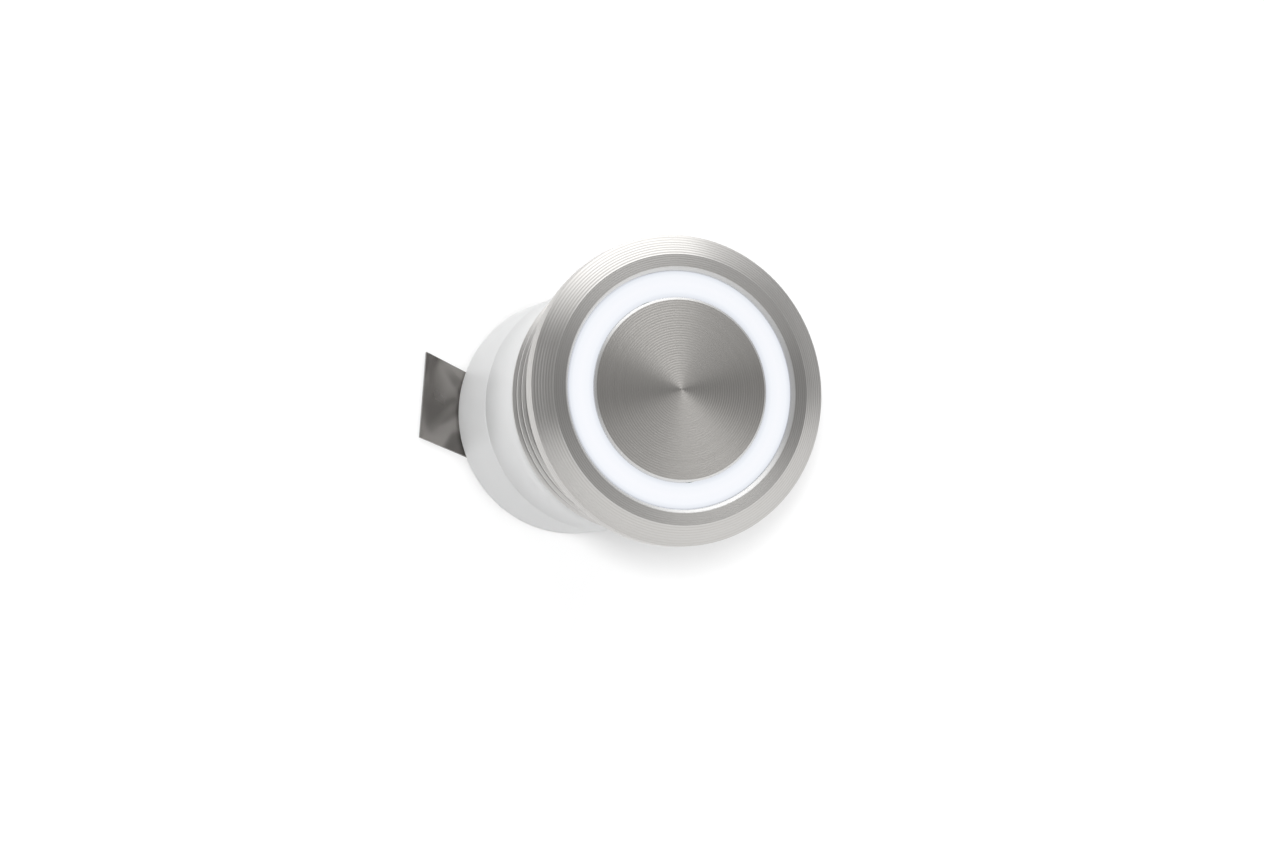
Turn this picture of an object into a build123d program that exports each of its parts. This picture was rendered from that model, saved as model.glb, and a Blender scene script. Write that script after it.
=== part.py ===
from build123d import *
import os
from math import atan2, ceil, cos, radians, sin, sqrt, tan

# Illuminated latching push button for a 22 mm panel hole. Lengths are in millimetres.
# The button's axis is Z, and its front looks up. The origin is the centre of the seat, the flange's
# underside that lies on the panel. The flat tail lies behind the rear cover and points towards -X.

# Bezel: flange, conical bevel, window and barrel
flange_diameter = 24.8
rim_thickness = 1.45
bevel_height = 0.64
bevel_width = 1.61
face_width = 1.03
window_chamfer_width = 0.23
window_chamfer_depth = 0.30
lip_thickness = 1.19
seat_width = 1.4
barrel_length = 8.5
barrel_lead_in = 0.3
barrel_wall = 1.15
edge_break = 0.12

# Thread on the barrel, behind a plain collar that fills the panel's hole and a relief groove
collar_length = 2.0
relief_length = 1.24
thread_pitch = 1.25
thread_depth = 0.65
thread_crest = 0.16
thread_root = 0.30

# Light ring
ring_width = 2.07
ring_flange_thickness = 1.0
ring_bore_length = 2.19
skirt_wall = 0.9
led_air_gap = 0.5

# Cap that the finger presses
cap_proud = 0.115
cap_chamfer_width = 0.23
cap_chamfer_depth = 0.13
cap_plate = 1.0
cap_wall = 0.8
cap_depth = 2.7
boss_diameter = 3.0
boss_length = 2.5

# Plunger and its stroke
travel = 2.2
head_thickness = 1.2
stem_diameter = 6.4
clip_groove_depth = 0.5
clip_thickness = 0.5
clip_diameter = 8.8
cam_flat_depth = 0.8
cam_flat_margin = 0.3
cam_track_depth = 0.9
cam_lead = 1.2
cam_tail = 1.0
spigot_diameter = 2.2
rivet_diameter = 3.2
rivet_thickness = 0.35

# Latch pin, a bent wire whose tip follows the heart-shaped track
pin_wire = 0.7
pin_arm = 4.2
pin_swing = 15.0
pin_bend = 0.5
track_clearance = 0.15
pin_tip_clearance = 0.2
island_tip_factor = 1.08
lobe_height_factor = 0.85
lobe_width_factor = 0.9
keeper_thickness = 0.2
keeper_width = 3.4
keeper_corner = 0.4
keeper_foot = 0.8

# Frame that guides the plunger
frame_plate = 1.6
guide_diameter = 10.0
guide_length = 4.4
gland_depth = 1.3
gland_width = 0.95
frame_shoulder = 0.2
frame_upper_wall = 1.0
frame_lower_wall = 0.8
washer_thickness = 0.3
washer_diameter = 10.0
spring_wire = 0.45
spring_diameter = 9.2
spring_turns = 2.5

# Lamps and boards
board_thickness = 0.8
led_board_bore = 10.6
led_count = 6
led_height = 0.7
led_body_height = 0.42
led_radial = 1.25
led_tangential = 2.0
led_lens_inset = 0.2
led_lens_taper = 20.0
led_margin = 0.175
lead_diameter = 0.7
lead_spacing = 4.0
lead_margin = 0.9
lead_proud = 0.1
board_gap = 0.9

# Contacts
contact_strip = 0.3
contact_width = 1.6
contact_button_diameter = 1.6
contact_button_height = 0.25
contact_spacing = 8.8
terminal_margin = 1.0
contact_gap = 0.1
bridge_thickness = 0.4
bridge_width = 2.4
bridge_overhang = 1.0
contact_spring_wire = 0.3
contact_spring_length = 1.1
contact_spring_turns = 1.5
base_thickness = 1.2

# Body shells
body_step = 0.55
housing_length = 8.3
neck_wall = 0.8
neck_length = 3.7
cover_step = 0.05
cover_length = 8.2
cover_floor = 1.2
cover_spigot_length = 2.0
cover_spigot_wall = 0.9
cover_ledge = 0.8
cover_corner = 0.4

# Flat tail, its slot and its seal
tail_thickness = 0.35
tail_width = 7.5
tail_slot_margin = 0.58
tail_landing = 3.2
tail_fold = 0.675
tail_bend_inset = 1.33
tail_reach = 4.36
tail_veer = 1.98
tail_cut_angle = 6.0
tail_bend = 2.0
seal_margin = 0.55
seal_height = 0.8

# Clearances
slide_clearance = 0.05
fit_clearance = 0.05
snug_clearance = 0.02
loose_clearance = 0.10

# Heights along the axis, from the front to the rear
rim_z = rim_thickness
face_z = rim_z + bevel_height
ring_face_z = face_z - window_chamfer_depth
shoulder_z = face_z - lip_thickness
neck_z = shoulder_z - ring_flange_thickness
cap_face_z = ring_face_z + cap_proud
cap_under_z = cap_face_z - cap_plate
head_end_z = cap_under_z - head_thickness
led_board_z = neck_z - neck_length
frame_z = led_board_z - board_thickness
led_body_z = led_board_z + led_body_height
skirt_end_z = led_board_z + led_height + led_air_gap
washer_z = frame_z + washer_thickness
guide_end_z = frame_z - guide_length
clip_z = guide_end_z - slide_clearance
clip_end_z = clip_z - clip_thickness
pin_tip_z = clip_end_z - travel - cam_lead
stem_end_z = pin_tip_z - cam_tail
pin_pivot_z = pin_tip_z - pin_arm
bridge_z = stem_end_z - contact_spring_length
bridge_end_z = bridge_z - bridge_thickness
rivet_z = bridge_end_z - fit_clearance
rivet_end_z = rivet_z - rivet_thickness
contact_face_z = bridge_end_z - contact_button_height - travel - contact_gap
contact_strip_z = contact_face_z - contact_button_height
base_z = contact_strip_z - contact_strip
base_end_z = base_z - base_thickness
connection_board_z = base_end_z - board_gap
ledge_z = connection_board_z - board_thickness
relief_z = -collar_length - relief_length
seam_z = -barrel_length - housing_length
cover_spigot_z = seam_z + cover_spigot_length
cover_end_z = seam_z - cover_length
floor_z = cover_end_z + cover_floor
tail_z = cover_end_z - loose_clearance - tail_thickness / 2

# Radii about the axis
flange_radius = flange_diameter / 2
bevel_inner_radius = flange_radius - bevel_width
window_radius = bevel_inner_radius - face_width - window_chamfer_width
ring_radius = window_radius - fit_clearance
outer_barrel_radius = flange_radius - seat_width
barrel_radius = outer_barrel_radius - barrel_wall
thread_root_radius = outer_barrel_radius - thread_depth
thread_foot_radius = thread_root_radius - loose_clearance
ring_bore_radius = ring_radius - ring_width
cap_radius = ring_bore_radius - slide_clearance
neck_radius = barrel_radius - fit_clearance
neck_bore_radius = neck_radius - neck_wall
skirt_radius = neck_bore_radius - loose_clearance
skirt_bore_radius = skirt_radius - skirt_wall
body_radius = outer_barrel_radius - body_step
cover_radius = body_radius - cover_step
cover_spigot_radius = cover_radius - cover_spigot_wall
cavity_radius = cover_spigot_radius - cover_spigot_wall
spigot_bore_radius = cover_spigot_radius + fit_clearance
frame_radius = neck_bore_radius + frame_shoulder
frame_bore_radius = frame_radius + fit_clearance
frame_inner_radius = frame_radius - frame_upper_wall
frame_step_radius = cavity_radius - loose_clearance
frame_rear_bore_radius = frame_step_radius - frame_lower_wall
cap_inner_radius = cap_radius - cap_wall
head_radius = cap_inner_radius - loose_clearance
boss_radius = boss_diameter / 2
boss_hole_radius = boss_radius + snug_clearance
stem_radius = stem_diameter / 2
groove_radius = stem_radius - clip_groove_depth
guide_radius = stem_radius + slide_clearance
gland_radius = guide_radius + gland_width
spigot_radius = spigot_diameter / 2
ledge_radius = cavity_radius - cover_ledge
board_radius = cavity_radius - loose_clearance
led_radius = neck_bore_radius - led_margin - led_radial / 2
lead_y = lead_margin - frame_rear_bore_radius
terminal_x = frame_rear_bore_radius - terminal_margin
seal_width = tail_width + 2 * seal_margin
seal_thickness = tail_thickness + 2 * seal_margin
tail_slot_x = sqrt(ledge_radius**2 - (seal_width / 2) ** 2) - seal_thickness / 2 - tail_slot_margin

# Distances of the latch from the axis, along +Y
cam_flat_y = stem_radius - cam_flat_depth
cam_floor_y = cam_flat_y - cam_track_depth
pin_tip_y = cam_floor_y + pin_tip_clearance
pin_arm_y = stem_radius + track_clearance + pin_wire / 2
pin_foot_y = frame_step_radius - pin_tip_clearance
keeper_y = pin_arm_y + pin_wire / 2 + loose_clearance

white = Color(0.93, 0.93, 0.91)
steel = Color(0.72, 0.71, 0.70)
black = Color(0.10, 0.10, 0.11)
green = Color(0.12, 0.30, 0.20)
brass = Color(0.80, 0.62, 0.30)
rubber = Color(0.06, 0.06, 0.06)
grey = Color(0.38, 0.37, 0.36)

os.makedirs("parts", exist_ok=True)


def half_section(*points):
    """Half section through the axis, each point being a radius and a height."""
    with BuildSketch(Plane.XZ) as profile:
        with BuildLine():
            Polyline(*points, close=True)
        make_face()
    return profile.sketch


def save(piece, name, colour):
    piece.part.label = name
    piece.part.color = colour
    export_step(piece.part, f"parts/{name}.step")


# Thread: ridge wound round the barrel, trimmed to the threaded length and its lead-in
thread_turns = ceil((barrel_length - collar_length) / thread_pitch) + 1
thread_start_z = -collar_length - thread_turns * thread_pitch
flank_slope = (thread_pitch - thread_crest - thread_root) / (2 * thread_depth)
ridge_foot = thread_crest / 2 + flank_slope * (outer_barrel_radius - thread_foot_radius)
with BuildPart() as barrel_thread:
    revolve(
        half_section(
            (barrel_radius, relief_z),
            (outer_barrel_radius + loose_clearance, relief_z),
            (outer_barrel_radius + loose_clearance, barrel_lead_in + loose_clearance - barrel_length),
            (outer_barrel_radius - barrel_lead_in, -barrel_length),
            (barrel_radius, -barrel_length),
        ),
        axis=Axis.Z,
    )
    with BuildLine() as thread_line:
        Helix(
            pitch=thread_pitch,
            height=thread_turns * thread_pitch,
            radius=thread_root_radius,
            center=(0, 0, thread_start_z),
        )
    with BuildSketch(Plane.XZ):
        with BuildLine():
            Polyline(
                (thread_foot_radius, thread_start_z - ridge_foot),
                (outer_barrel_radius, thread_start_z - thread_crest / 2),
                (outer_barrel_radius, thread_start_z + thread_crest / 2),
                (thread_foot_radius, thread_start_z + ridge_foot),
                close=True,
            )
        make_face()
    sweep(path=thread_line.line, is_frenet=True, mode=Mode.INTERSECT)

# Bezel, turned from one bar: flange, bevel, window lip and barrel, and its thread
with BuildPart() as bezel:
    revolve(
        half_section(
            (window_radius, ring_face_z),
            (window_radius + window_chamfer_width, face_z),
            (bevel_inner_radius, face_z),
            (flange_radius, rim_z),
            (flange_radius, 0),
            (outer_barrel_radius, 0),
            (outer_barrel_radius, -collar_length),
            (thread_root_radius, -collar_length),
            (thread_root_radius, -barrel_length),
            (barrel_radius, -barrel_length),
            (barrel_radius, shoulder_z),
            (window_radius, shoulder_z),
        ),
        axis=Axis.Z,
    )
    rim_edges = bezel.edges().filter_by(GeomType.CIRCLE).group_by(SortBy.RADIUS)[-1]
    chamfer(rim_edges.sort_by(Axis.Z)[0], edge_break)
    add(barrel_thread.part)
save(bezel, "bezel", steel)

# Light ring: face in the window, flange behind the lip and skirt down to the lamps
with BuildPart() as light_ring:
    revolve(
        half_section(
            (ring_bore_radius, ring_face_z),
            (ring_radius, ring_face_z),
            (ring_radius, shoulder_z),
            (neck_radius, shoulder_z),
            (neck_radius, neck_z),
            (skirt_radius, neck_z),
            (skirt_radius, skirt_end_z),
            (skirt_bore_radius, skirt_end_z),
            (skirt_bore_radius, ring_face_z - ring_bore_length),
            (ring_bore_radius, ring_face_z - ring_bore_length),
        ),
        axis=Axis.Z,
    )
save(light_ring, "light_ring", white)

# Cap: turned cup with a bevelled edge and a boss that holds the plunger
with BuildPart() as actuator_cap:
    revolve(
        half_section(
            (0, cap_face_z),
            (cap_radius - cap_chamfer_width, cap_face_z),
            (cap_radius, cap_face_z - cap_chamfer_depth),
            (cap_radius, cap_face_z - cap_depth),
            (cap_inner_radius, cap_face_z - cap_depth),
            (cap_inner_radius, cap_under_z),
            (boss_radius, cap_under_z),
            (boss_radius, cap_under_z - boss_length),
            (0, cap_under_z - boss_length),
        ),
        axis=Axis.Z,
    )
    boss_edge = actuator_cap.edges().filter_by(GeomType.CIRCLE).sort_by(Axis.Z)[0]
    chamfer(boss_edge, edge_break)
save(actuator_cap, "actuator_cap", steel)

# The latch pin's tip moves through the track on an arc, seen from the plunger
swing = radians(pin_swing)
path_x = pin_arm * sin(swing)
path_rise = travel - pin_arm * (1 - cos(swing))
path_angle = atan2(path_x, path_rise)
track_half = pin_wire / 2 + track_clearance
island_tip = island_tip_factor * track_half / sin(path_angle)
lobe_rise = lobe_height_factor * path_rise
lobe_x = lobe_width_factor * (lobe_rise * sin(path_angle) - track_half) / cos(path_angle)
notch_rise = lobe_rise - lobe_x


def on_track(x, rise):
    """Point of the track, the rise being counted from the tip's rest place towards the front."""
    return (x, pin_tip_z + rise)


# Plunger: head under the cap, guided stem, clip groove, heart-shaped track and rear spigot
with BuildPart() as plunger:
    revolve(
        half_section(
            (boss_hole_radius, cap_under_z),
            (head_radius, cap_under_z),
            (head_radius, head_end_z),
            (stem_radius, head_end_z),
            (stem_radius, clip_z + snug_clearance),
            (groove_radius, clip_z + snug_clearance),
            (groove_radius, clip_end_z - snug_clearance),
            (stem_radius, clip_end_z - snug_clearance),
            (stem_radius, stem_end_z),
            (spigot_radius, stem_end_z),
            (spigot_radius, rivet_z),
            (rivet_diameter / 2, rivet_z),
            (rivet_diameter / 2, rivet_end_z),
            (0, rivet_end_z),
            (0, cap_under_z - boss_length - loose_clearance),
            (boss_hole_radius, cap_under_z - boss_length - loose_clearance),
        ),
        axis=Axis.Z,
    )
    flat_top_z = clip_end_z - cam_flat_margin
    with BuildSketch(Plane.XZ.offset(-cam_flat_y)):
        with Locations((0, (flat_top_z + stem_end_z) / 2)):
            Rectangle(stem_diameter, flat_top_z - stem_end_z)
    extrude(amount=-cam_flat_depth, mode=Mode.SUBTRACT)
    with BuildSketch(Plane.XZ.offset(-cam_flat_y)):
        with BuildLine():
            Polyline(
                on_track(-track_half, -track_half),
                on_track(track_half, -track_half),
                on_track(path_x + track_half, path_rise),
                on_track(path_x + track_half, path_rise + track_half),
                on_track(-path_x - track_half, path_rise + track_half),
                on_track(-path_x - track_half, path_rise),
                close=True,
            )
        make_face()
        with BuildLine():
            Polyline(
                on_track(0, island_tip),
                on_track(lobe_x, notch_rise),
                on_track(lobe_x, lobe_rise),
                on_track(0, notch_rise),
                on_track(-lobe_x, lobe_rise),
                on_track(-lobe_x, notch_rise),
                close=True,
            )
        make_face(mode=Mode.SUBTRACT)
    extrude(amount=cam_track_depth, mode=Mode.SUBTRACT)
save(plunger, "plunger", white)

# Retaining clip: open washer in the plunger's groove, the upper stop of the stroke
with BuildPart() as plunger_clip:
    with BuildSketch(Plane.XY.offset(clip_z)):
        Circle(clip_diameter / 2)
        Circle(groove_radius + snug_clearance, mode=Mode.SUBTRACT)
        with Locations((0, -clip_diameter / 2)):
            Rectangle(groove_radius, clip_diameter, mode=Mode.SUBTRACT)
    extrude(amount=-clip_thickness)
save(plunger_clip, "plunger_clip", steel)

# Switch frame: plunger guide with the seal's gland, cup wall and rear step
lead_places = [(side * lead_spacing / 2, lead_y) for side in (-1, 1)]
with BuildPart() as switch_frame:
    revolve(
        half_section(
            (gland_radius, frame_z),
            (frame_radius, frame_z),
            (frame_radius, cover_spigot_z),
            (frame_step_radius, cover_spigot_z),
            (frame_step_radius, base_end_z),
            (frame_rear_bore_radius, base_end_z),
            (frame_rear_bore_radius, cover_spigot_z),
            (frame_inner_radius, cover_spigot_z + frame_upper_wall),
            (frame_inner_radius, frame_z - frame_plate),
            (guide_diameter / 2, frame_z - frame_plate),
            (guide_diameter / 2, guide_end_z),
            (guide_radius, guide_end_z),
            (guide_radius, frame_z - gland_depth),
            (gland_radius, frame_z - gland_depth),
        ),
        axis=Axis.Z,
    )
    with BuildSketch(Plane.XY.offset(frame_z)):
        with Locations(*lead_places):
            Circle(lead_diameter / 2 + loose_clearance)
    extrude(amount=-frame_plate, mode=Mode.SUBTRACT)
    with BuildSketch(Plane.XZ.offset(-frame_step_radius)):
        with Locations((0, pin_pivot_z)):
            Circle(pin_wire / 2 + slide_clearance)
    extrude(amount=2 * frame_lower_wall, mode=Mode.SUBTRACT)
save(switch_frame, "switch_frame", black)

# Plunger seal in the frame's gland
with BuildPart() as plunger_seal:
    with BuildSketch(Plane.XZ):
        with Locations((guide_radius + gland_width / 2, frame_z - gland_depth / 2)):
            Circle(gland_width / 2 - fit_clearance)
    revolve(axis=Axis.Z)
save(plunger_seal, "plunger_seal", rubber)

# Washer that closes the gland and carries the return spring
with BuildPart() as seal_washer:
    with BuildSketch(Plane.XY.offset(frame_z)):
        Circle(washer_diameter / 2)
        Circle(guide_radius + loose_clearance, mode=Mode.SUBTRACT)
    extrude(amount=washer_thickness)
save(seal_washer, "seal_washer", steel)


def coil_spring(top_z, length, radius, wire, turns):
    """Round wire wound about the axis, a small clearance inside each of its two seats."""
    rise = length - wire - 2 * fit_clearance
    low_z = top_z - length + wire / 2 + fit_clearance
    with BuildPart() as spring:
        with BuildLine() as coil:
            Helix(pitch=rise / turns, height=rise, radius=radius, center=(0, 0, low_z))
        with BuildSketch(Plane(origin=coil.line @ 0, z_dir=coil.line % 0)):
            Circle(wire / 2)
        sweep(path=coil.line, is_frenet=True)
    return spring


# Return spring between the plunger's head and the washer
return_spring = coil_spring(head_end_z, head_end_z - washer_z, spring_diameter / 2, spring_wire, spring_turns)
save(return_spring, "return_spring", steel)

# Contact spring between the plunger's shoulder and the bridge
contact_spring = coil_spring(
    stem_end_z,
    contact_spring_length,
    spigot_radius + contact_spring_wire + loose_clearance,
    contact_spring_wire,
    contact_spring_turns,
)
save(contact_spring, "contact_spring", steel)

# Latch pin: wire bent twice, its foot turning in the frame's wall and its tip in the track
with BuildPart() as latch_pin:
    with BuildLine() as pin_path:
        FilletPolyline(
            (0, pin_tip_y, pin_tip_z),
            (0, pin_arm_y, pin_tip_z),
            (0, pin_arm_y, pin_pivot_z),
            (0, pin_foot_y, pin_pivot_z),
            radius=pin_bend,
        )
    with BuildSketch(Plane(origin=pin_path.line @ 0, z_dir=pin_path.line % 0)):
        Circle(pin_wire / 2)
    sweep(path=pin_path.line)
save(latch_pin, "latch_pin", steel)

# Keeper: leaf that stands in the contact base and holds the pin down in the track
keeper_top_z = pin_tip_z + pin_wire
keeper_end_z = base_z - keeper_foot
with BuildPart() as pin_keeper:
    with BuildSketch(Plane.XZ.offset(-keeper_y)):
        with Locations((0, (keeper_top_z + keeper_end_z) / 2)):
            RectangleRounded(keeper_width, keeper_top_z - keeper_end_z, keeper_corner)
        with Locations((0, pin_pivot_z)):
            Circle(pin_wire / 2 + pin_tip_clearance, mode=Mode.SUBTRACT)
    extrude(amount=-keeper_thickness)
save(pin_keeper, "pin_keeper", steel)

# Lamp board: ring on the frame's front, with the lamps under the light ring's skirt
with BuildPart() as led_board:
    with BuildSketch(Plane.XY.offset(led_board_z)):
        Circle(frame_radius)
        Circle(led_board_bore / 2, mode=Mode.SUBTRACT)
        with Locations(*lead_places):
            Circle(lead_diameter / 2 + fit_clearance, mode=Mode.SUBTRACT)
    extrude(amount=-board_thickness)
save(led_board, "led_board", green)

for number in range(led_count):
    angle = 360 * number / led_count
    with BuildPart() as led:
        with BuildSketch(Plane.XY.offset(led_board_z)):
            with PolarLocations(led_radius, 1, start_angle=angle):
                Rectangle(led_radial, led_tangential)
        extrude(amount=led_body_height)
        with BuildSketch(Plane.XY.offset(led_body_z)):
            with PolarLocations(led_radius, 1, start_angle=angle):
                Rectangle(led_radial - led_lens_inset, led_tangential - led_lens_inset)
        extrude(amount=led_height - led_body_height, taper=led_lens_taper)
    save(led, f"led_{number + 1}", white)

# Leads from the lamp board to the connection board
lead_top_z = led_board_z + lead_proud
lead_end_z = ledge_z - lead_proud
for side, place in zip(("left", "right"), lead_places):
    with BuildPart() as led_lead:
        with BuildSketch(Plane.XY.offset(lead_top_z)):
            with Locations(place):
                Circle(lead_diameter / 2)
        extrude(amount=lead_end_z - lead_top_z)
    save(led_lead, f"led_lead_{side}", brass)

# Bridge: bar with two contact buttons, riding on the plunger's spigot
button_places = [(-contact_spacing / 2, 0), (contact_spacing / 2, 0)]
with BuildPart() as contact_bridge:
    with BuildSketch(Plane.XY.offset(bridge_z)):
        SlotOverall(contact_spacing + contact_button_diameter + bridge_overhang, bridge_width)
        Circle(spigot_radius + fit_clearance, mode=Mode.SUBTRACT)
    extrude(amount=-bridge_thickness)
    with BuildSketch(Plane.XY.offset(bridge_end_z)):
        with Locations(*button_places):
            Circle(contact_button_diameter / 2)
    extrude(amount=-contact_button_height)
save(contact_bridge, "contact_bridge", brass)

# Contact base: disc that closes the frame, slotted for the terminals, leads and keeper
strip_slot = contact_strip + 2 * fit_clearance
width_slot = contact_width + 2 * fit_clearance
with BuildPart() as contact_base:
    with BuildSketch(Plane.XY.offset(base_z)):
        Circle(frame_rear_bore_radius - fit_clearance)
        with Locations((-terminal_x, 0), (terminal_x, 0)):
            Rectangle(strip_slot, width_slot, mode=Mode.SUBTRACT)
        with Locations(*lead_places):
            Circle(lead_diameter / 2 + loose_clearance, mode=Mode.SUBTRACT)
    extrude(amount=-base_thickness)
    with BuildSketch(Plane.XY.offset(base_z)):
        with Locations((0, keeper_y + keeper_thickness / 2)):
            Rectangle(keeper_width + 2 * fit_clearance, keeper_thickness + 2 * fit_clearance)
    extrude(amount=-keeper_foot - fit_clearance, mode=Mode.SUBTRACT)
save(contact_base, "contact_base", black)

# Fixed contacts: angled strips with a contact button, soldered through the connection board
pad_inner_x = contact_spacing / 2 - contact_button_diameter
for side, sign in (("left", -1), ("right", 1)):
    with BuildPart() as fixed_contact:
        with BuildSketch(Plane.XZ):
            with BuildLine():
                Polyline(
                    (sign * pad_inner_x, contact_strip_z),
                    (sign * (terminal_x + contact_strip / 2), contact_strip_z),
                    (sign * (terminal_x + contact_strip / 2), lead_end_z),
                    (sign * (terminal_x - contact_strip / 2), lead_end_z),
                    (sign * (terminal_x - contact_strip / 2), base_z),
                    (sign * pad_inner_x, base_z),
                    close=True,
                )
            make_face()
        extrude(amount=contact_width / 2, both=True)
        with BuildSketch(Plane.XY.offset(contact_strip_z)):
            with Locations((sign * contact_spacing / 2, 0)):
                Circle(contact_button_diameter / 2)
        extrude(amount=contact_button_height)
    save(fixed_contact, f"fixed_contact_{side}", brass)

# Connection board on the rear cover's ledge
with BuildPart() as connection_board:
    with BuildSketch(Plane.XY.offset(connection_board_z)):
        Circle(board_radius)
        with Locations((-terminal_x, 0), (terminal_x, 0)):
            Rectangle(strip_slot, width_slot, mode=Mode.SUBTRACT)
        with Locations(*lead_places):
            Circle(lead_diameter / 2 + fit_clearance, mode=Mode.SUBTRACT)
    extrude(amount=-board_thickness)
save(connection_board, "connection_board", green)

# Housing: white sleeve with a neck that fits inside the bezel's barrel
with BuildPart() as housing:
    revolve(
        half_section(
            (neck_bore_radius, neck_z),
            (neck_radius, neck_z),
            (neck_radius, -barrel_length),
            (body_radius, -barrel_length),
            (body_radius, seam_z),
            (spigot_bore_radius, seam_z),
            (spigot_bore_radius, cover_spigot_z),
            (frame_bore_radius, cover_spigot_z),
            (frame_bore_radius, led_board_z),
            (neck_bore_radius, led_board_z),
        ),
        axis=Axis.Z,
    )
    chamfer(housing.edges().filter_by(GeomType.CIRCLE).group_by(SortBy.RADIUS)[-1], edge_break)
save(housing, "housing", white)

# Rear cover: white cup with a spigot into the housing, a ledge for the board and a slot for the tail
slot_width = tail_width + 2 * loose_clearance
slot_height = tail_thickness + 2 * loose_clearance
with BuildPart() as rear_cover:
    revolve(
        half_section(
            (cavity_radius, cover_spigot_z),
            (cover_spigot_radius, cover_spigot_z),
            (cover_spigot_radius, seam_z),
            (cover_radius, seam_z),
            (cover_radius, cover_end_z),
            (0, cover_end_z),
            (0, floor_z),
            (ledge_radius, floor_z),
            (ledge_radius, ledge_z),
            (cavity_radius, ledge_z),
        ),
        axis=Axis.Z,
    )
    cover_edges = rear_cover.edges().filter_by(GeomType.CIRCLE).group_by(SortBy.RADIUS)[-1].sort_by(Axis.Z)
    fillet(cover_edges[0], cover_corner)
    seam_edges = rear_cover.edges().filter_by(GeomType.CIRCLE).group_by(SortBy.RADIUS)[-1].sort_by(Axis.Z)
    chamfer(seam_edges[-1], edge_break)
    with BuildSketch(Plane.XY.offset(cover_end_z)):
        with Locations((-tail_slot_x, 0)):
            Rectangle(slot_height, slot_width)
    extrude(amount=cover_floor, mode=Mode.SUBTRACT)
    slot_edges = rear_cover.edges().filter_by(Axis.Y).group_by(Axis.Z)[0].sort_by(Axis.X)
    fillet(slot_edges[0], tail_fold - slot_height / 2)
save(rear_cover, "rear_cover", white)

# Seal on the cover's floor, slit for the tail
with BuildPart() as tail_seal:
    with BuildSketch(Plane.XY.offset(floor_z)):
        with Locations((-tail_slot_x, 0)):
            SlotOverall(seal_width, seal_thickness, rotation=90)
            Rectangle(tail_thickness + 2 * snug_clearance, tail_width + 2 * snug_clearance, mode=Mode.SUBTRACT)
    extrude(amount=seal_height)
save(tail_seal, "tail_seal", rubber)

# Tail: flat strip from under the board through the slot, folded flat behind the cover and veering to its cut
tail_root_x = tail_landing - tail_slot_x
tail_bend_x = tail_bend_inset - cover_radius
tail_end_x = tail_bend_x - tail_reach
half_width = tail_width / 2
cut_shift = half_width * tan(radians(tail_cut_angle))
with BuildPart() as tail:
    with BuildLine() as tail_path:
        FilletPolyline(
            (tail_root_x, 0, ledge_z - tail_thickness / 2),
            (-tail_slot_x, 0, ledge_z - tail_thickness / 2),
            (-tail_slot_x, 0, tail_z),
            (tail_end_x - tail_width, 0, tail_z),
            radius=tail_fold,
        )
    with BuildSketch(Plane(origin=tail_path.line @ 0, x_dir=(0, 1, 0), z_dir=tail_path.line % 0)):
        Rectangle(2 * tail_width, tail_thickness)
    sweep(path=tail_path.line)
    with BuildSketch(Plane.XY.offset(ledge_z)) as plan:
        with BuildLine():
            Polyline(
                (tail_root_x, -half_width),
                (tail_bend_x, -half_width),
                (tail_end_x - cut_shift, tail_veer - half_width),
                (tail_end_x + cut_shift, tail_veer + half_width),
                (tail_bend_x, half_width),
                (tail_root_x, half_width),
                close=True,
            )
        make_face()
        fillet(plan.vertices().group_by(Axis.X)[2], tail_bend)
    extrude(amount=tail_z - ledge_z - tail_thickness, mode=Mode.INTERSECT)
save(tail, "tail", grey)
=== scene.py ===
import math
import bmesh
import bpy
from mathutils import Matrix, Vector


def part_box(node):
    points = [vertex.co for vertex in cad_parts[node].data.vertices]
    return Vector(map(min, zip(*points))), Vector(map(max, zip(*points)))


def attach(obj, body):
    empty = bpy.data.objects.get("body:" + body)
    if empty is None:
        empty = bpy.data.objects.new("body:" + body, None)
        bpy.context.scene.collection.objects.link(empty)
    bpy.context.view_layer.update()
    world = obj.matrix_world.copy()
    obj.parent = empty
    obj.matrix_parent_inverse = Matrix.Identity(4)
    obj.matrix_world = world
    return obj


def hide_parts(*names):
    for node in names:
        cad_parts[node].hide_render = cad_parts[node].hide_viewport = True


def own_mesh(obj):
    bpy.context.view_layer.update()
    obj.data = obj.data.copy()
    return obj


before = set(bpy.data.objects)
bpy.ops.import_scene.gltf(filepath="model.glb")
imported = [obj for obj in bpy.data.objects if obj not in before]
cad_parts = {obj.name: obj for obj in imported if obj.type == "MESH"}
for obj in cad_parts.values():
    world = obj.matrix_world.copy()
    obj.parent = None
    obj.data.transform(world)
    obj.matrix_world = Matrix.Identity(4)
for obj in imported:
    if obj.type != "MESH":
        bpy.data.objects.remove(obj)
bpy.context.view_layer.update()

mm = 0.001  # the sizes below are in millimetres
mergeDistance = 0.002 * mm
housingBody = "housing_body"
actuatorBody = "actuator"
print("frame loaded:", len(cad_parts), "nodes")


class Signal:  # a shader socket that can be reckoned with
    def __init__(self, nodes, socket):
        self.nodes = nodes
        self.socket = socket

    def out(self, name):
        return Signal(self.nodes, self.socket.node.outputs[name])

    def __add__(self, other):
        return self.nodes.maths("ADD", self, other)

    __radd__ = __add__

    def __sub__(self, other):
        return self.nodes.maths("SUBTRACT", self, other)

    def __rsub__(self, other):
        return self.nodes.maths("SUBTRACT", other, self)

    def __mul__(self, other):
        return self.nodes.maths("MULTIPLY", self, other)

    __rmul__ = __mul__


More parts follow.
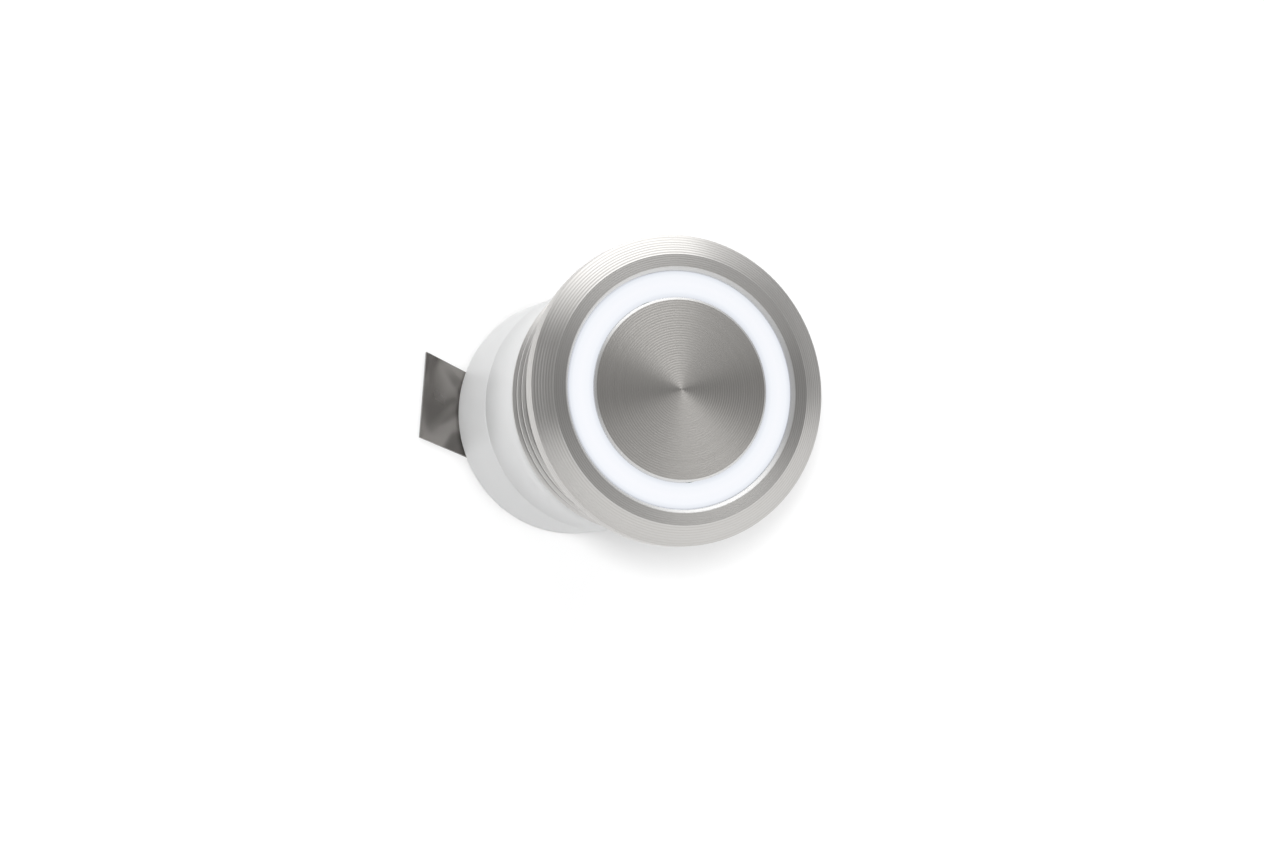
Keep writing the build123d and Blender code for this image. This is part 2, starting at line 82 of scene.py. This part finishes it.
class Nodes:  # adds nodes to one tree
    def __init__(self, tree):
        self.tree = tree

    def add(self, kind, settings=None, values=(), output=0):
        node = self.tree.nodes.new(kind)
        settings = dict(settings or {})
        stops = settings.pop("stops", None)
        for key, value in settings.items():
            setattr(node, key, value)
        if stops:
            ramp = node.color_ramp
            while len(ramp.elements) < len(stops):
                ramp.elements.new(0.5)
            for element, (place, colour) in zip(ramp.elements, stops):
                element.position = place
                element.color = (*colour, 1.0)
        pairs = values.items() if isinstance(values, dict) else enumerate(values)
        for place, value in pairs:
            if isinstance(value, Signal):
                self.tree.links.new(value.socket, node.inputs[place])
            else:
                node.inputs[place].default_value = value
        return Signal(self, node.outputs[output])

    def maths(self, operation, *values):
        return self.add("ShaderNodeMath", {"operation": operation}, values)

    def vector(self, operation, *values):
        return self.add("ShaderNodeVectorMath", {"operation": operation}, values)

    def rise(self, value, low, high):  # smooth step from 0 at low to 1 at high
        smooth = {"interpolation_type": "SMOOTHSTEP"}
        return self.add("ShaderNodeMapRange", smooth, {"Value": value, "From Min": low, "From Max": high})

    def noise(self, place, scale, detail=2.0, bend=0.0):
        values = {"Vector": place, "Scale": scale, "Detail": detail, "Distortion": bend}
        return self.add("ShaderNodeTexNoise", values=values)

    def mixColour(self, factor, *colours):
        first, second = ((*colour, 1.0) if isinstance(colour, tuple) else colour for colour in colours)
        return self.add("ShaderNodeMix", {"data_type": "RGBA"}, {0: factor, 6: first, 7: second}, 2)


class Finish(Nodes):  # a material with one Principled shader
    def __init__(self, name, colour, roughness, **constants):
        self.material = bpy.data.materials.new(name)
        self.material.use_nodes = True
        super().__init__(self.material.node_tree)
        self.shader = self.tree.nodes["Principled BSDF"]
        self.shader.inputs["Base Color"].default_value = (*colour, 1.0)
        self.shader.inputs["Roughness"].default_value = roughness
        for socket, value in constants.items():
            self.shader.inputs[socket.replace("_", " ")].default_value = value

    def feed(self, socket, signal):
        self.tree.links.new(signal.socket, self.shader.inputs[socket])

    def objectPlace(self):
        return self.add("ShaderNodeTexCoord", output="Object")

    def radiusAndHeight(self):  # distance from the button's axis and height along it, in millimetres
        place = self.add("ShaderNodeSeparateXYZ", values=[self.objectPlace()])
        x = place.out("X")
        y = place.out("Y")
        toMillimetres = 1 / mm
        return self.maths("SQRT", x * x + y * y) * toMillimetres, place.out("Z") * toMillimetres


def grey(level):
    return (level, level, level)


turningLook = {
    "heightShare": 0.44,  # is added to the radius, so that upright walls have turning lines too
    "anisotropy": 0.95, "anisotropyTurn": 0.25,
    "wanderScale": 2.2, "wanderShift": 0.04, "barrelFades": (0.05, -0.25), "rimFades": (12.28, 12.38),
    "leastTilt": 0.75, "tiltSpread": 0.5, "uprightCalm": 0.8, "baseShade": 0.30, "grooveShade": 0.26,
    "wanderShade": 0.4, "barrelPaintedReflection": 0.6, "roughSpread": 0.04, "toneBlend": 0.02, "chamferBlend": 0.01,
    "chamferHighlightColour": (0.84, 0.835, 0.825),
}


def turnedSteel(name, look, slopeStart):  # rough across the turning lines, so light fans out
    turning = turningLook
    finish = Finish(
        name, look["light"], look["flatRough"], Metallic=1.0, Anisotropic=turning["anisotropy"],
        Anisotropic_Rotation=turning["anisotropyTurn"],
    )
    radius, height = finish.radiusAndHeight()
    across = radius + height * turning["heightShare"]
    wanderValues = {"W": across, "Scale": turning["wanderScale"], "Detail": 2.0}
    wander = finish.add("ShaderNodeTexNoise", {"noise_dimensions": "1D"}, wanderValues)
    phase = (across + wander * turning["wanderShift"]) * (math.tau / look["groovePitch"])
    groove = finish.maths("SINE", phase)
    barrel = finish.rise(height, *turning["barrelFades"])
    upright = finish.maths("MAXIMUM", barrel, finish.rise(radius, *turning["rimFades"]))
    start, end = look["chamfer"]  # the small chamfer beside the lit ring is polished smoother, and a lighter colour there paints its highlight
    blend = turning["chamferBlend"]
    chamfer = finish.rise(radius, start - blend, start + blend)
    chamfer = chamfer * finish.rise(radius, end + blend, end - blend)
    calm = (1 - upright * turning["uprightCalm"]) * (1 - chamfer)
    tilt = groove * (turning["leastTilt"] + wander * turning["tiltSpread"]) * calm * look["grooveTilt"]
    face = finish.add("ShaderNodeNewGeometry", output="Normal")
    axis = (0.0, 0.0, 1.0)
    around = finish.vector("NORMALIZE", finish.vector("CROSS_PRODUCT", axis, finish.objectPlace()))
    sideways = finish.vector("CROSS_PRODUCT", around, face)
    lean = finish.add("ShaderNodeVectorMath", {"operation": "SCALE"}, {"Vector": sideways, "Scale": tilt})
    finish.feed("Normal", finish.vector("NORMALIZE", finish.vector("ADD", face, lean)))
    onSlope = finish.rise(radius, slopeStart - turning["toneBlend"], slopeStart + turning["toneBlend"])
    shade = turning["baseShade"] + groove * turning["grooveShade"] + wander * turning["wanderShade"]
    # painted reflection: the barrel and its thread are coloured lighter, standing in for the bright
    # reflections on the thread
    shade = shade + barrel * turning["barrelPaintedReflection"]
    bare = finish.mixColour(shade, look["dark"], look["light"])
    toned = finish.vector("MULTIPLY", bare, finish.mixColour(onSlope, grey(look["flatTone"]), grey(1.0)))
    # painted highlight: the chamfer is coloured lighter than the turned steel around it
    finish.feed("Base Color", finish.mixColour(chamfer, toned, turning["chamferHighlightColour"]))
    rough = look["flatRough"] + onSlope * (look["slopeRough"] - look["flatRough"])
    finish.feed("Roughness", rough + (wander + barrel - chamfer - 0.5) * turning["roughSpread"])
    return finish.material


mouldingLook = {
    "rough": 0.42, "leastRough": 0.36, "roughSpread": 0.12, "refraction": 1.46, "cloudScale": 260.0,
    "cloudDetail": 3.0, "grainScale": 5200.0, "grainStrength": 0.12, "grainHeight": 0.02,
}


def mouldedWhite(name, look):
    moulding = mouldingLook
    finish = Finish(name, look["light"], moulding["rough"], IOR=moulding["refraction"])
    cloud = finish.noise(finish.objectPlace(), moulding["cloudScale"], moulding["cloudDetail"])
    grain = finish.noise(finish.objectPlace(), moulding["grainScale"])
    finish.feed("Base Color", finish.mixColour(cloud, look["dark"], look["light"]))
    finish.feed("Roughness", moulding["leastRough"] + cloud * moulding["roughSpread"])
    height = moulding["grainHeight"] * mm
    bump = {"Strength": moulding["grainStrength"], "Distance": height, "Height": grain}
    finish.feed("Normal", finish.add("ShaderNodeBump", values=bump))
    return finish.material


litLook = {
    "colour": (0.10, 0.10, 0.11), "rough": 0.30, "leastRough": 0.24, "roughSpread": 0.14, "hazeScale": 900.0,
    "glowFrom": 7.4, "glowTo": 9.5,
    "stops": [
        (0.0, (0.60, 0.62, 0.66)), (0.06, (0.65, 0.68, 0.72)), (0.20, (0.75, 0.77, 0.80)),
        (0.5, (0.78, 0.79, 0.815)), (0.80, (0.75, 0.77, 0.80)), (0.94, (0.65, 0.68, 0.72)),
        (1.0, (0.46, 0.48, 0.52)),
    ],
}


def litRing(name, look):  # brightest in the middle of its face, bluer towards both edges
    finish = Finish(name, look["colour"], look["rough"], Emission_Strength=1.0)
    radius, _ = finish.radiusAndHeight()
    share = (radius - look["glowFrom"]) * (1 / (look["glowTo"] - look["glowFrom"]))
    finish.feed("Emission Color", finish.add("ShaderNodeValToRGB", {"stops": look["stops"]}, [share]))
    haze = finish.noise(finish.objectPlace(), look["hazeScale"])
    finish.feed("Roughness", look["leastRough"] + haze * look["roughSpread"])
    return finish.material


tailLook = {
    "colour": (0.30, 0.285, 0.27), "dark": (0.125, 0.118, 0.112), "light": (0.345, 0.33, 0.315),
    "rough": 0.2, "leastRough": 0.16, "roughSpread": 0.16, "metal": 0.75, "stretch": (1.0, 0.6, 1.0),
    "waveScale": 250.0, "waveDetail": 1.3, "waveBend": 1.7, "sheenEdges": (0.38, 0.58), "sheenShare": 0.75,
    "waveStrength": 0.6, "waveHeight": 0.4, "cloudScale": 700.0, "cloudDetail": 4.0,
    "paintedShadePlace": (-12.8, 1.0, -25.1), "paintedShadeRadii": (0.3, 2.6), "paintedShadeLeast": 0.15, "flatEdges": (0.3, 0.7),
}


def glossyTail(name, look):  # film with soft bumped waves; its colour paints the waves' light and dark reflections over a random cloud, plus a painted shade patch near the cut and a dark cut edge
    finish = Finish(name, look["colour"], look["rough"], Metallic=look["metal"])
    stretch = {"Vector": finish.objectPlace(), "Scale": look["stretch"]}
    place = finish.add("ShaderNodeMapping", values=stretch)
    wave = finish.noise(place, look["waveScale"], look["waveDetail"], look["waveBend"])
    cloud = finish.noise(place, look["cloudScale"], look["cloudDetail"])
    normal = finish.add("ShaderNodeNewGeometry", output="Normal")
    face = finish.add("ShaderNodeSeparateXYZ", values=[normal])
    flat = finish.rise(finish.maths("ABSOLUTE", face.out("Z")), *look["flatEdges"])
    # painted shade: one soft dark patch near the cut, with no dent in the shape
    paintedShadePlace = tuple(value * mm for value in look["paintedShadePlace"])
    near, far = (value * mm for value in look["paintedShadeRadii"])
    paintedShadeFade = finish.rise(finish.vector("DISTANCE", place, paintedShadePlace).out("Value"), near, far)
    share = look["sheenShare"]
    # painted reflection: the waves' light and dark strokes go into the colour, mixed with a random cloud
    sheenAndCloud = finish.rise(wave, *look["sheenEdges"]) * share + cloud * (1 - share)
    shade = flat * sheenAndCloud * (look["paintedShadeLeast"] + paintedShadeFade * (1 - look["paintedShadeLeast"]))
    finish.feed("Base Color", finish.mixColour(shade, look["dark"], look["light"]))
    finish.feed("Roughness", look["leastRough"] + cloud * look["roughSpread"])
    bump = {"Strength": look["waveStrength"], "Distance": look["waveHeight"] * mm, "Height": wave}
    finish.feed("Normal", finish.add("ShaderNodeBump", values=bump))
    return finish.material


def plainFinish(name, look, cloudDetail=3.0, roughSpread=0.12):
    finish = Finish(name, look["light"], look["rough"], Metallic=look.get("metal", 0.0))
    cloud = finish.noise(finish.objectPlace(), look["scale"], cloudDetail)
    finish.feed("Base Color", finish.mixColour(cloud, look["dark"], look["light"]))
    finish.feed("Roughness", look["rough"] + (cloud - 0.5) * roughSpread)
    return finish.material


def finishMesh(bm, name, material, body, sharpAngle=32.0):
    bmesh.ops.remove_doubles(bm, verts=bm.verts, dist=mergeDistance)
    bmesh.ops.recalc_face_normals(bm, faces=bm.faces)
    mesh = bpy.data.meshes.new(name)
    bm.to_mesh(mesh)
    bm.free()
    for polygon in mesh.polygons:
        polygon.use_smooth = True
    mesh.set_sharp_from_angle(angle=math.radians(sharpAngle))
    mesh.materials.append(material)
    piece = bpy.data.objects.new(name, mesh)
    bpy.context.scene.collection.objects.link(piece)
    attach(piece, body)
    return piece


def breakEdges(bm, width, leastAngle=25.0):  # small round on every turned corner
    bmesh.ops.remove_doubles(bm, verts=bm.verts, dist=mergeDistance)
    bmesh.ops.recalc_face_normals(bm, faces=bm.faces)
    least = math.radians(leastAngle)
    corners = [e for e in bm.edges if len(e.link_faces) == 2 and e.calc_face_angle(0.0) > least]
    bmesh.ops.bevel(
        bm, geom=corners, offset=width * mm, affect="EDGES", segments=2, profile=0.5, material=-1,
        clamp_overlap=True,
    )


def revolved(section, size, closed=True):  # spins a section of radii and heights about the axis
    bm = bmesh.new()
    verts = [bm.verts.new((r * mm, 0.0, z * mm)) for r, z in section]
    edges = [bm.edges.new(pair) for pair in zip(verts, verts[1:])]
    if closed:
        edges.append(bm.edges.new((verts[-1], verts[0])))
    bmesh.ops.spin(
        bm, geom=verts + edges, axis=(0, 0, 1), cent=(0, 0, 0), angle=math.tau, steps=size["steps"],
        use_merge=True,
    )
    breakEdges(bm, size["edge"])
    return bm


def wound(bm, turns, climb, stepsPerTurn):  # winds what is in the mesh up a helix, climb to the turn
    count = round(turns * stepsPerTurn)
    bmesh.ops.spin(
        bm, geom=[*bm.verts, *bm.edges, *bm.faces], axis=(0, 0, 1), cent=(0, 0, 0),
        dvec=(0, 0, climb / stepsPerTurn), angle=math.tau * turns, steps=count,
    )


bezelSizes = {
    "flangeRadius": 12.4, "rimTop": 1.45, "rimBreak": 0.12, "faceRadius": 10.79, "faceTop": 2.09,
    "mouthRadius": 9.76, "windowRadius": 9.53, "windowTop": 1.79, "lipFoot": 0.9, "boreRadius": 9.85,
    "barrelFoot": -8.5, "collarFoot": -2.0, "threadTop": -3.24, "crest": 11.0, "root": 10.35,
    "crestWidth": 0.16, "flank": 0.6077, "pitch": 1.25, "turns": 7, "sink": 0.1, "leadIn": 0.3,
    "edge": 0.03, "steps": 288, "threadSteps": 144, "sharpAngle": 20.0,
}
bezelLook = {
    "dark": (0.55, 0.535, 0.515), "light": (0.69, 0.68, 0.665), "flatTone": 0.90, "flatRough": 0.52,
    "slopeRough": 0.30, "groovePitch": 0.17, "grooveTilt": 0.16, "chamfer": (9.40, 9.80),
}


def threadRidge(size):  # helical ridge that sinks a little into the barrel's root
    bm = bmesh.new()
    crest = size["crest"]
    inner = size["root"] - size["sink"]
    start = size["collarFoot"] - size["turns"] * size["pitch"]
    top = size["crestWidth"] / 2
    foot = top + size["flank"] * (crest - inner)
    section = [(inner, start - foot), (crest, start - top), (crest, start + top), (inner, start + foot)]
    bm.faces.new([bm.verts.new((r * mm, 0.0, z * mm)) for r, z in section])
    wound(bm, size["turns"], size["pitch"] * mm, size["threadSteps"])
    for height, side in ((size["barrelFoot"], -1.0), (size["threadTop"], 1.0)):
        whole = [*bm.verts, *bm.edges, *bm.faces]
        cut = bmesh.ops.bisect_plane(
            bm, geom=whole, plane_co=(0, 0, height * mm), plane_no=(0, 0, side), clear_outer=True
        )["geom_cut"]
        bmesh.ops.holes_fill(bm, edges=[e for e in cut if isinstance(e, bmesh.types.BMEdge)], sides=0)
    leadTop = (size["barrelFoot"] + size["leadIn"]) * mm
    for vert in bm.verts:  # lead-in chamfer on the last turn
        reach = vert.co.xy.length
        limit = crest * mm - max(0.0, leadTop - vert.co.z)
        if reach > limit:
            vert.co.xy *= limit / reach
    bmesh.ops.recalc_face_normals(bm, faces=bm.faces)
    ridge = bpy.data.meshes.new("ridge")
    bm.to_mesh(ridge)
    bm.free()
    return ridge


def makeBezel(size):
    bm = revolved([
        (size["windowRadius"], size["windowTop"]), (size["mouthRadius"], size["faceTop"]),
        (size["faceRadius"], size["faceTop"]), (size["flangeRadius"], size["rimTop"]),
        (size["flangeRadius"], size["rimBreak"]), (size["flangeRadius"] - size["rimBreak"], 0.0),
        (size["crest"], 0.0), (size["crest"], size["collarFoot"]), (size["root"], size["collarFoot"]),
        (size["root"], size["barrelFoot"]), (size["boreRadius"], size["barrelFoot"]),
        (size["boreRadius"], size["lipFoot"]), (size["windowRadius"], size["lipFoot"]),
    ], size)
    ridge = threadRidge(size)
    bm.from_mesh(ridge)
    bpy.data.meshes.remove(ridge)
    steel = turnedSteel("bezelSteel", bezelLook, size["faceRadius"])
    piece = finishMesh(bm, "bezel_turned", steel, housingBody, size["sharpAngle"])
    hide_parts("bezel")


capSizes = {
    "faceTop": 1.905, "flatRadius": 7.13, "rimRadius": 7.36, "rimTop": 1.775, "skirtFoot": -0.795,
    "skirtRadius": 6.56, "under": 0.905, "bossRadius": 1.5, "bossFoot": -1.595, "edge": 0.03, "steps": 240,
    "sharpAngle": 20.0,
}
capLook = {
    "dark": (0.455, 0.44, 0.42), "light": (0.57, 0.555, 0.535), "flatTone": 1.0, "flatRough": 0.47,
    "slopeRough": 0.47, "groovePitch": 0.20, "grooveTilt": 0.21, "chamfer": (7.17, 7.60),
}


def makeCap(size):
    bm = revolved([
        (0.0, size["faceTop"]), (size["flatRadius"], size["faceTop"]), (size["rimRadius"], size["rimTop"]),
        (size["rimRadius"], size["skirtFoot"]), (size["skirtRadius"], size["skirtFoot"]),
        (size["skirtRadius"], size["under"]), (size["bossRadius"], size["under"]),
        (size["bossRadius"], size["bossFoot"]), (0.0, size["bossFoot"]),
    ], size, closed=False)
    steel = turnedSteel("capSteel", capLook, size["flatRadius"])
    piece = finishMesh(bm, "cap_turned", steel, actuatorBody, size["sharpAngle"])
    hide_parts("actuator_cap")


ringSizes = {
    "bore": 7.41, "face": 1.79, "faceRadius": 9.48, "shoulder": 0.9, "flangeRadius": 9.8,
    "flangeFoot": -0.1, "skirtRadius": 8.9, "skirtFoot": -2.6, "skirtBore": 8.0, "boreFoot": -0.4,
    "edge": 0.05, "steps": 240,
}


def makeRing(size):
    bm = revolved([
        (size["bore"], size["face"]), (size["faceRadius"], size["face"]),
        (size["faceRadius"], size["shoulder"]), (size["flangeRadius"], size["shoulder"]),
        (size["flangeRadius"], size["flangeFoot"]),
        (size["skirtRadius"], size["flangeFoot"]), (size["skirtRadius"], size["skirtFoot"]),
        (size["skirtBore"], size["skirtFoot"]), (size["skirtBore"], size["boreFoot"]),
        (size["bore"], size["boreFoot"]),
    ], size)
    piece = finishMesh(bm, "ring_moulded", litRing("ringWhite", litLook), housingBody)
    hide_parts("light_ring")


housingSizes = {
    "neckBore": 9.0, "neckTop": -0.1, "neckRadius": 9.8, "shoulder": -8.5, "bodyRadius": 10.45,
    "seam": -16.8, "spigotBore": 9.55, "spigotTop": -14.8, "frameBore": 9.25, "boardTop": -3.8,
    "edge": 0.12, "steps": 240,
}
housingLook = {"dark": (0.775, 0.78, 0.78), "light": (0.825, 0.83, 0.83)}


def makeHousing(size):
    bm = revolved([
        (size["neckBore"], size["neckTop"]), (size["neckRadius"], size["neckTop"]),
        (size["neckRadius"], size["shoulder"]), (size["bodyRadius"], size["shoulder"]),
        (size["bodyRadius"], size["seam"]), (size["spigotBore"], size["seam"]),
        (size["spigotBore"], size["spigotTop"]), (size["frameBore"], size["spigotTop"]),
        (size["frameBore"], size["boardTop"]), (size["neckBore"], size["boardTop"]),
    ], size)
    white = mouldedWhite("housingWhite", housingLook)
    piece = finishMesh(bm, "housing_moulded", white, housingBody)
    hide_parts("housing")


springSizes = {
    "coilRadius": 4.6, "wire": 0.45, "turns": 2.5, "fixedEnd": -4.3, "stroke": 2.2, "stepsPerTurn": 72,
    "sides": 14, "sharpAngle": 50.0,
}


def makeReturnSpring(size, material):  # winds a coil of wire through the height of the spring node's box
    low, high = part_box("return_spring")
    wire = size["wire"] * mm
    bm = bmesh.new()
    upright = Matrix.Rotation(math.pi / 2, 4, "X")
    start = Matrix.Translation((size["coilRadius"] * mm, 0.0, low[2] + wire / 2)) @ upright
    bmesh.ops.create_circle(bm, cap_ends=True, segments=size["sides"], radius=wire / 2, matrix=start)
    wound(bm, size["turns"], (high[2] - low[2] - wire) / size["turns"], size["stepsPerTurn"])
    bmesh.ops.holes_fill(bm, edges=[e for e in bm.edges if len(e.link_faces) == 1], sides=0)
    piece = finishMesh(bm, "return_coil", material, housingBody, size["sharpAngle"])
    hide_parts("return_spring")
    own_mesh(piece)


plainLooks = {
    "sealBlack": {
        "dark": grey(0.02), "light": grey(0.05), "rough": 0.7, "scale": 1800.0,
        "nodes": ["tail_seal", "plunger_seal"],
    },
    "innerBlack": {
        "dark": (0.02, 0.02, 0.022), "light": (0.05, 0.05, 0.052), "rough": 0.5, "scale": 900.0,
        "nodes": ["switch_frame", "contact_base"],
    },
    "innerWhite": {
        "dark": (0.70, 0.70, 0.68), "light": (0.80, 0.80, 0.78), "rough": 0.4, "scale": 900.0,
        "nodes": ["plunger"],
    },
    "drawnSteel": {
        "dark": (0.45, 0.45, 0.46), "light": (0.60, 0.60, 0.61), "rough": 0.28, "scale": 3000.0,
        "metal": 1.0, "nodes": ["plunger_clip", "seal_washer", "contact_spring", "latch_pin", "pin_keeper"],
    },
    "boardGreen": {
        "dark": (0.02, 0.10, 0.05), "light": (0.04, 0.16, 0.08), "rough": 0.42, "scale": 1200.0,
        "nodes": ["led_board", "connection_board"],
    },
    "contactBrass": {
        "dark": (0.60, 0.43, 0.17), "light": (0.78, 0.60, 0.28), "rough": 0.3, "scale": 1500.0,
        "metal": 1.0, "nodes": [
            "led_lead_left", "led_lead_right", "contact_bridge", "fixed_contact_left", "fixed_contact_right",
        ],
    },
    "lampYellow": {
        "dark": (0.80, 0.70, 0.25), "light": (0.90, 0.84, 0.45), "rough": 0.25, "scale": 2000.0,
        "nodes": [f"led_{number}" for number in range(1, 7)],
    },
}


def dressNodes(nodes, material):
    for node in nodes:
        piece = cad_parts[node]
        piece.data.materials.clear()
        piece.data.materials.append(material)


plainFinishes = {name: plainFinish(name, look) for name, look in plainLooks.items()}
makeBezel(bezelSizes)
makeCap(capSizes)
makeRing(ringSizes)
makeHousing(housingSizes)
makeReturnSpring(springSizes, plainFinishes["drawnSteel"])
print("turned, moulded and wound pieces made")

# the rear cover's white is a little darker than the housing's: painted shade on the rear band
coverLook = {"dark": (0.755, 0.76, 0.76), "light": (0.81, 0.815, 0.815)}
dressNodes(["rear_cover"], mouldedWhite("coverWhite", coverLook))
dressNodes(["tail"], glossyTail("tailGrey", tailLook))
for name, look in plainLooks.items():
    dressNodes(look["nodes"], plainFinishes[name])
print("kept nodes finished")


stageLook = {
    "floorHeight": -25.5, "floorSize": 3000.0, "floorColour": 0.50, "floorRough": 0.9, "nearColour": 0.65,
    "farColour": 0.90, "nearRadius": 25.0, "farRadius": 80.0, "seenLift": 0.235, "mirroredLift": 0.42,
}


def makeStage(look):
    bm = bmesh.new()
    bmesh.ops.create_grid(bm, x_segments=1, y_segments=1, size=look["floorSize"] / 2 * mm)
    bmesh.ops.translate(bm, verts=bm.verts, vec=(0, 0, look["floorHeight"] * mm))
    mesh = bpy.data.meshes.new("floor")
    bm.to_mesh(mesh)
    bm.free()
    floor = bpy.data.objects.new("floor", mesh)
    bpy.context.scene.collection.objects.link(floor)
    shared = grey(look["floorColour"])
    rough = look["floorRough"]
    finish = Finish("floorWhite", shared, rough, Specular_IOR_Level=0.0, Emission_Strength=1.0)
    path = finish.add("ShaderNodeLightPath")
    seen = path.out("Is Camera Ray")
    mirrored = finish.maths("MAXIMUM", path.out("Is Glossy Ray"), path.out("Is Transmission Ray"))
    radius, _ = finish.radiusAndHeight()
    distance = finish.rise(radius, look["nearRadius"], look["farRadius"])
    paper = finish.mixColour(distance, grey(look["nearColour"]), grey(look["farColour"]))
    finish.feed("Base Color", finish.mixColour(seen, shared, paper))
    finish.feed("Emission Color", seen * look["seenLift"] + mirrored * look["mirroredLift"])
    mesh.materials.append(finish.material)


lamps = {
    "fillLeft": {"place": (-330.0, 30.0, 60.0), "size": (260.0, 300.0), "power": 0.05, "mirrored": True},
    "fillFront": {"place": (-72.0, -4.0, 182.0), "size": (22.0, 14.0), "power": 0.25, "mirrored": False},
}


def makeLamps(looks):  # each lamp faces the button's seat
    for name, look in looks.items():
        light = bpy.data.lights.new(name, "AREA")
        light.shape = "RECTANGLE"
        light.size = look["size"][0] * mm
        light.size_y = look["size"][1] * mm
        light.energy = look["power"]
        lamp = bpy.data.objects.new(name, light)
        lamp.location = Vector(look["place"]) * mm
        lamp.rotation_mode = "QUATERNION"
        lamp.rotation_quaternion = lamp.location.to_track_quat("Z", "Y")
        lamp.visible_glossy = look["mirrored"]
        bpy.context.scene.collection.objects.link(lamp)


skyLook = {
    "side": 0.43, "dim": 0.30, "top": 0.58, "crown": 1.4, "low": 0.66, "under": 0.95, "slant": 0.35,
    "dimWay": (-0.40, 0.02, 0.916), "dimEdges": (0.86, 0.985), "underEdges": (0.15, -0.5),
    "underFades": (0.40, 0.08), "boxFoot": (0.30, 0.56), "boxLeft": (-0.50, -0.22),
    "boxRight": (0.56, 0.44), "crownEdges": (0.45, 1.0), "lowTurn": 0.12, "lowEdges": (0.0, -0.26),
    "lowFades": (0.05, 0.38),
}


def makeWorld(look):  # a bright box overhead, a pale lower half and a dim patch in front
    world = bpy.data.worlds.new("studio")
    world.use_nodes = True
    bpy.context.scene.world = world
    nodes = Nodes(world.node_tree)
    direction = nodes.add("ShaderNodeTexCoord", output="Generated")
    way = nodes.add("ShaderNodeSeparateXYZ", values=[direction])
    x = way.out("X")
    y = way.out("Y")
    z = way.out("Z")
    slanted = z + x * look["slant"]
    facing = nodes.vector("DOT_PRODUCT", direction, look["dimWay"]).out("Value")
    side = (1 - nodes.rise(facing, *look["dimEdges"]) * look["dim"]) * look["side"]
    under = nodes.rise(y, *look["underEdges"]) * nodes.rise(slanted, *look["underFades"]) * look["under"]
    box = nodes.rise(x, *look["boxLeft"]) * nodes.rise(x, *look["boxRight"])
    box = nodes.rise(y, *look["boxFoot"]) * box
    crown = nodes.rise(y, *look["crownEdges"])
    low = nodes.rise(y - x * look["lowTurn"], *look["lowEdges"]) * nodes.rise(slanted, *look["lowFades"])
    level = side * (1 - under) + box * look["top"] + crown * look["crown"] + low * look["low"]
    soft = nodes.add("ShaderNodeBackground", values={"Color": level, "Strength": 1.0})
    white = nodes.add("ShaderNodeBackground", values={"Color": (1, 1, 1, 1), "Strength": 1.0})
    seen = nodes.add("ShaderNodeLightPath", output="Is Camera Ray")
    mixed = nodes.add("ShaderNodeMixShader", values=[seen, soft, white])
    nodes.tree.links.new(mixed.socket, nodes.tree.nodes["World Output"].inputs["Surface"])


cameraLook = {
    "place": (-72.442, -16.698, 179.620), "aim": (-3.57005, -2.39659, 0.0), "lens": 69.30,
    "sensor": 36.0, "clipStart": 1.0, "clipEnd": 10000.0,
}


def makeCamera(look):  # the part's X runs level across the picture
    camera = bpy.data.objects.new("camera", bpy.data.cameras.new("camera"))
    camera.data.lens = look["lens"]
    camera.data.sensor_width = look["sensor"]
    camera.data.clip_start = look["clipStart"] * mm
    camera.data.clip_end = look["clipEnd"] * mm
    place = Vector(look["place"]) * mm
    back = (place - Vector(look["aim"]) * mm).normalized()
    up = back.cross(Vector((1, 0, 0))).normalized()
    turn = Matrix((up.cross(back), up, back)).transposed().to_4x4()
    camera.matrix_world = Matrix.Translation(place) @ turn
    bpy.context.scene.collection.objects.link(camera)
    bpy.context.scene.camera = camera


makeStage(stageLook)
makeLamps(lamps)
makeWorld(skyLook)
makeCamera(cameraLook)
bpy.context.scene.view_settings.view_transform = "Standard"
print("stage, lamps and camera set")
